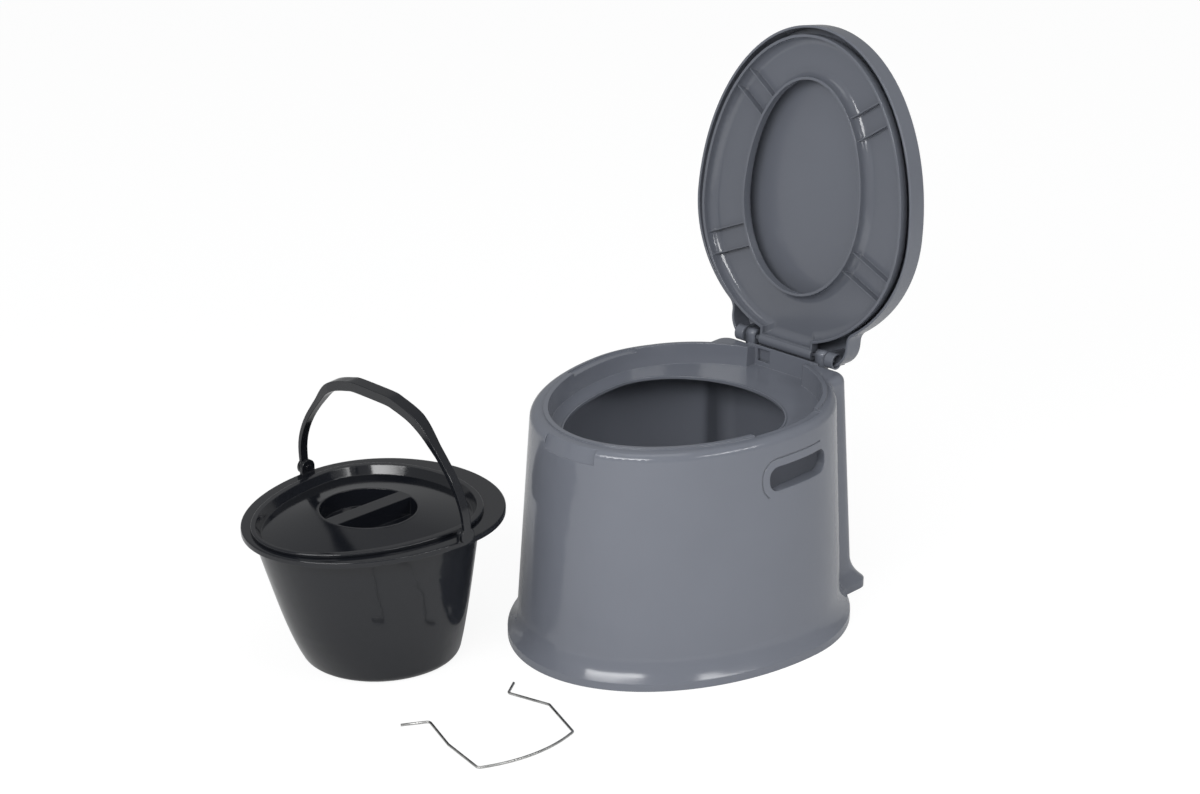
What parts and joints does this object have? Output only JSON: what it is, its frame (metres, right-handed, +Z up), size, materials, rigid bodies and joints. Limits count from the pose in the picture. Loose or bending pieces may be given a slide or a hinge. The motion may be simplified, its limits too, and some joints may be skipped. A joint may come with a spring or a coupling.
{
  "type": "portable camp toilet",
  "caption": "Portable camping toilet with an egg-shaped moulded housing, hinged seat and lid, lift-out covered bucket with a bail, and a bent-wire roll holder.",
  "frame": {"origin": "on the floor under the middle of the housing's bucket opening", "axes": "+Z up, -Y towards the front of the toilet, +X towards the left hand of a person sitting on it"},
  "size_m": [0.5571, 0.797, 0.7185],
  "materials": {
    "grey_plastic": "gloss, moulded",
    "black_plastic": "satin gloss, moulded",
    "pin_plastic": "satin, moulded",
    "wire": "zinc-plated"
  },
  "bodies": {
    "housing": {"housing": "grey_plastic", "hinge_block_left": "grey_plastic", "hinge_block_right": "grey_plastic", "hinge_pin_left": "pin_plastic", "hinge_pin_right": "pin_plastic"},
    "lid": {"lid": "grey_plastic"},
    "seat": {"seat": "grey_plastic"},
    "bucket": {"bucket": "black_plastic"},
    "bucket_lid": {"bucket_lid": "black_plastic"},
    "bucket_handle": {"bucket_handle": "black_plastic"},
    "roll_holder": {"roll_holder": "wire"}
  },
  "joints": [
    {"name": "lid_hinge", "type": "hinge", "parent": "housing", "child": "lid", "pos_m": [0, 0.186, 0.3065], "axis": [-1, 0, 0], "range_deg": [-97, 0]},
    {"name": "seat_hinge", "type": "hinge", "parent": "lid", "child": "seat", "pos_m": [0, 0.186, 0.3065], "axis": [1, 0, 0], "range_deg": [0, 97]},
    {"name": "bucket_lift", "type": "slide", "parent": "housing", "child": "bucket", "axis": [0, 0, 1], "range_m": [0, 0.3]},
    {"name": "bucket_handle_hinge", "type": "hinge", "parent": "bucket", "child": "bucket_handle", "pos_m": [-0.20131, -0.33899, 0.2], "axis": [-0.9993, 0.0384, 0], "range_deg": [-80, 88]},
    {"name": "bucket_lid_lift", "type": "slide", "parent": "bucket", "child": "bucket_lid", "axis": [0, 0, 1], "range_m": [0, 0.06]},
    {"name": "roll_holder_lift", "type": "slide", "parent": "housing", "child": "roll_holder", "axis": [0, 0, 1], "range_m": [0, 0.2]}
  ]
}
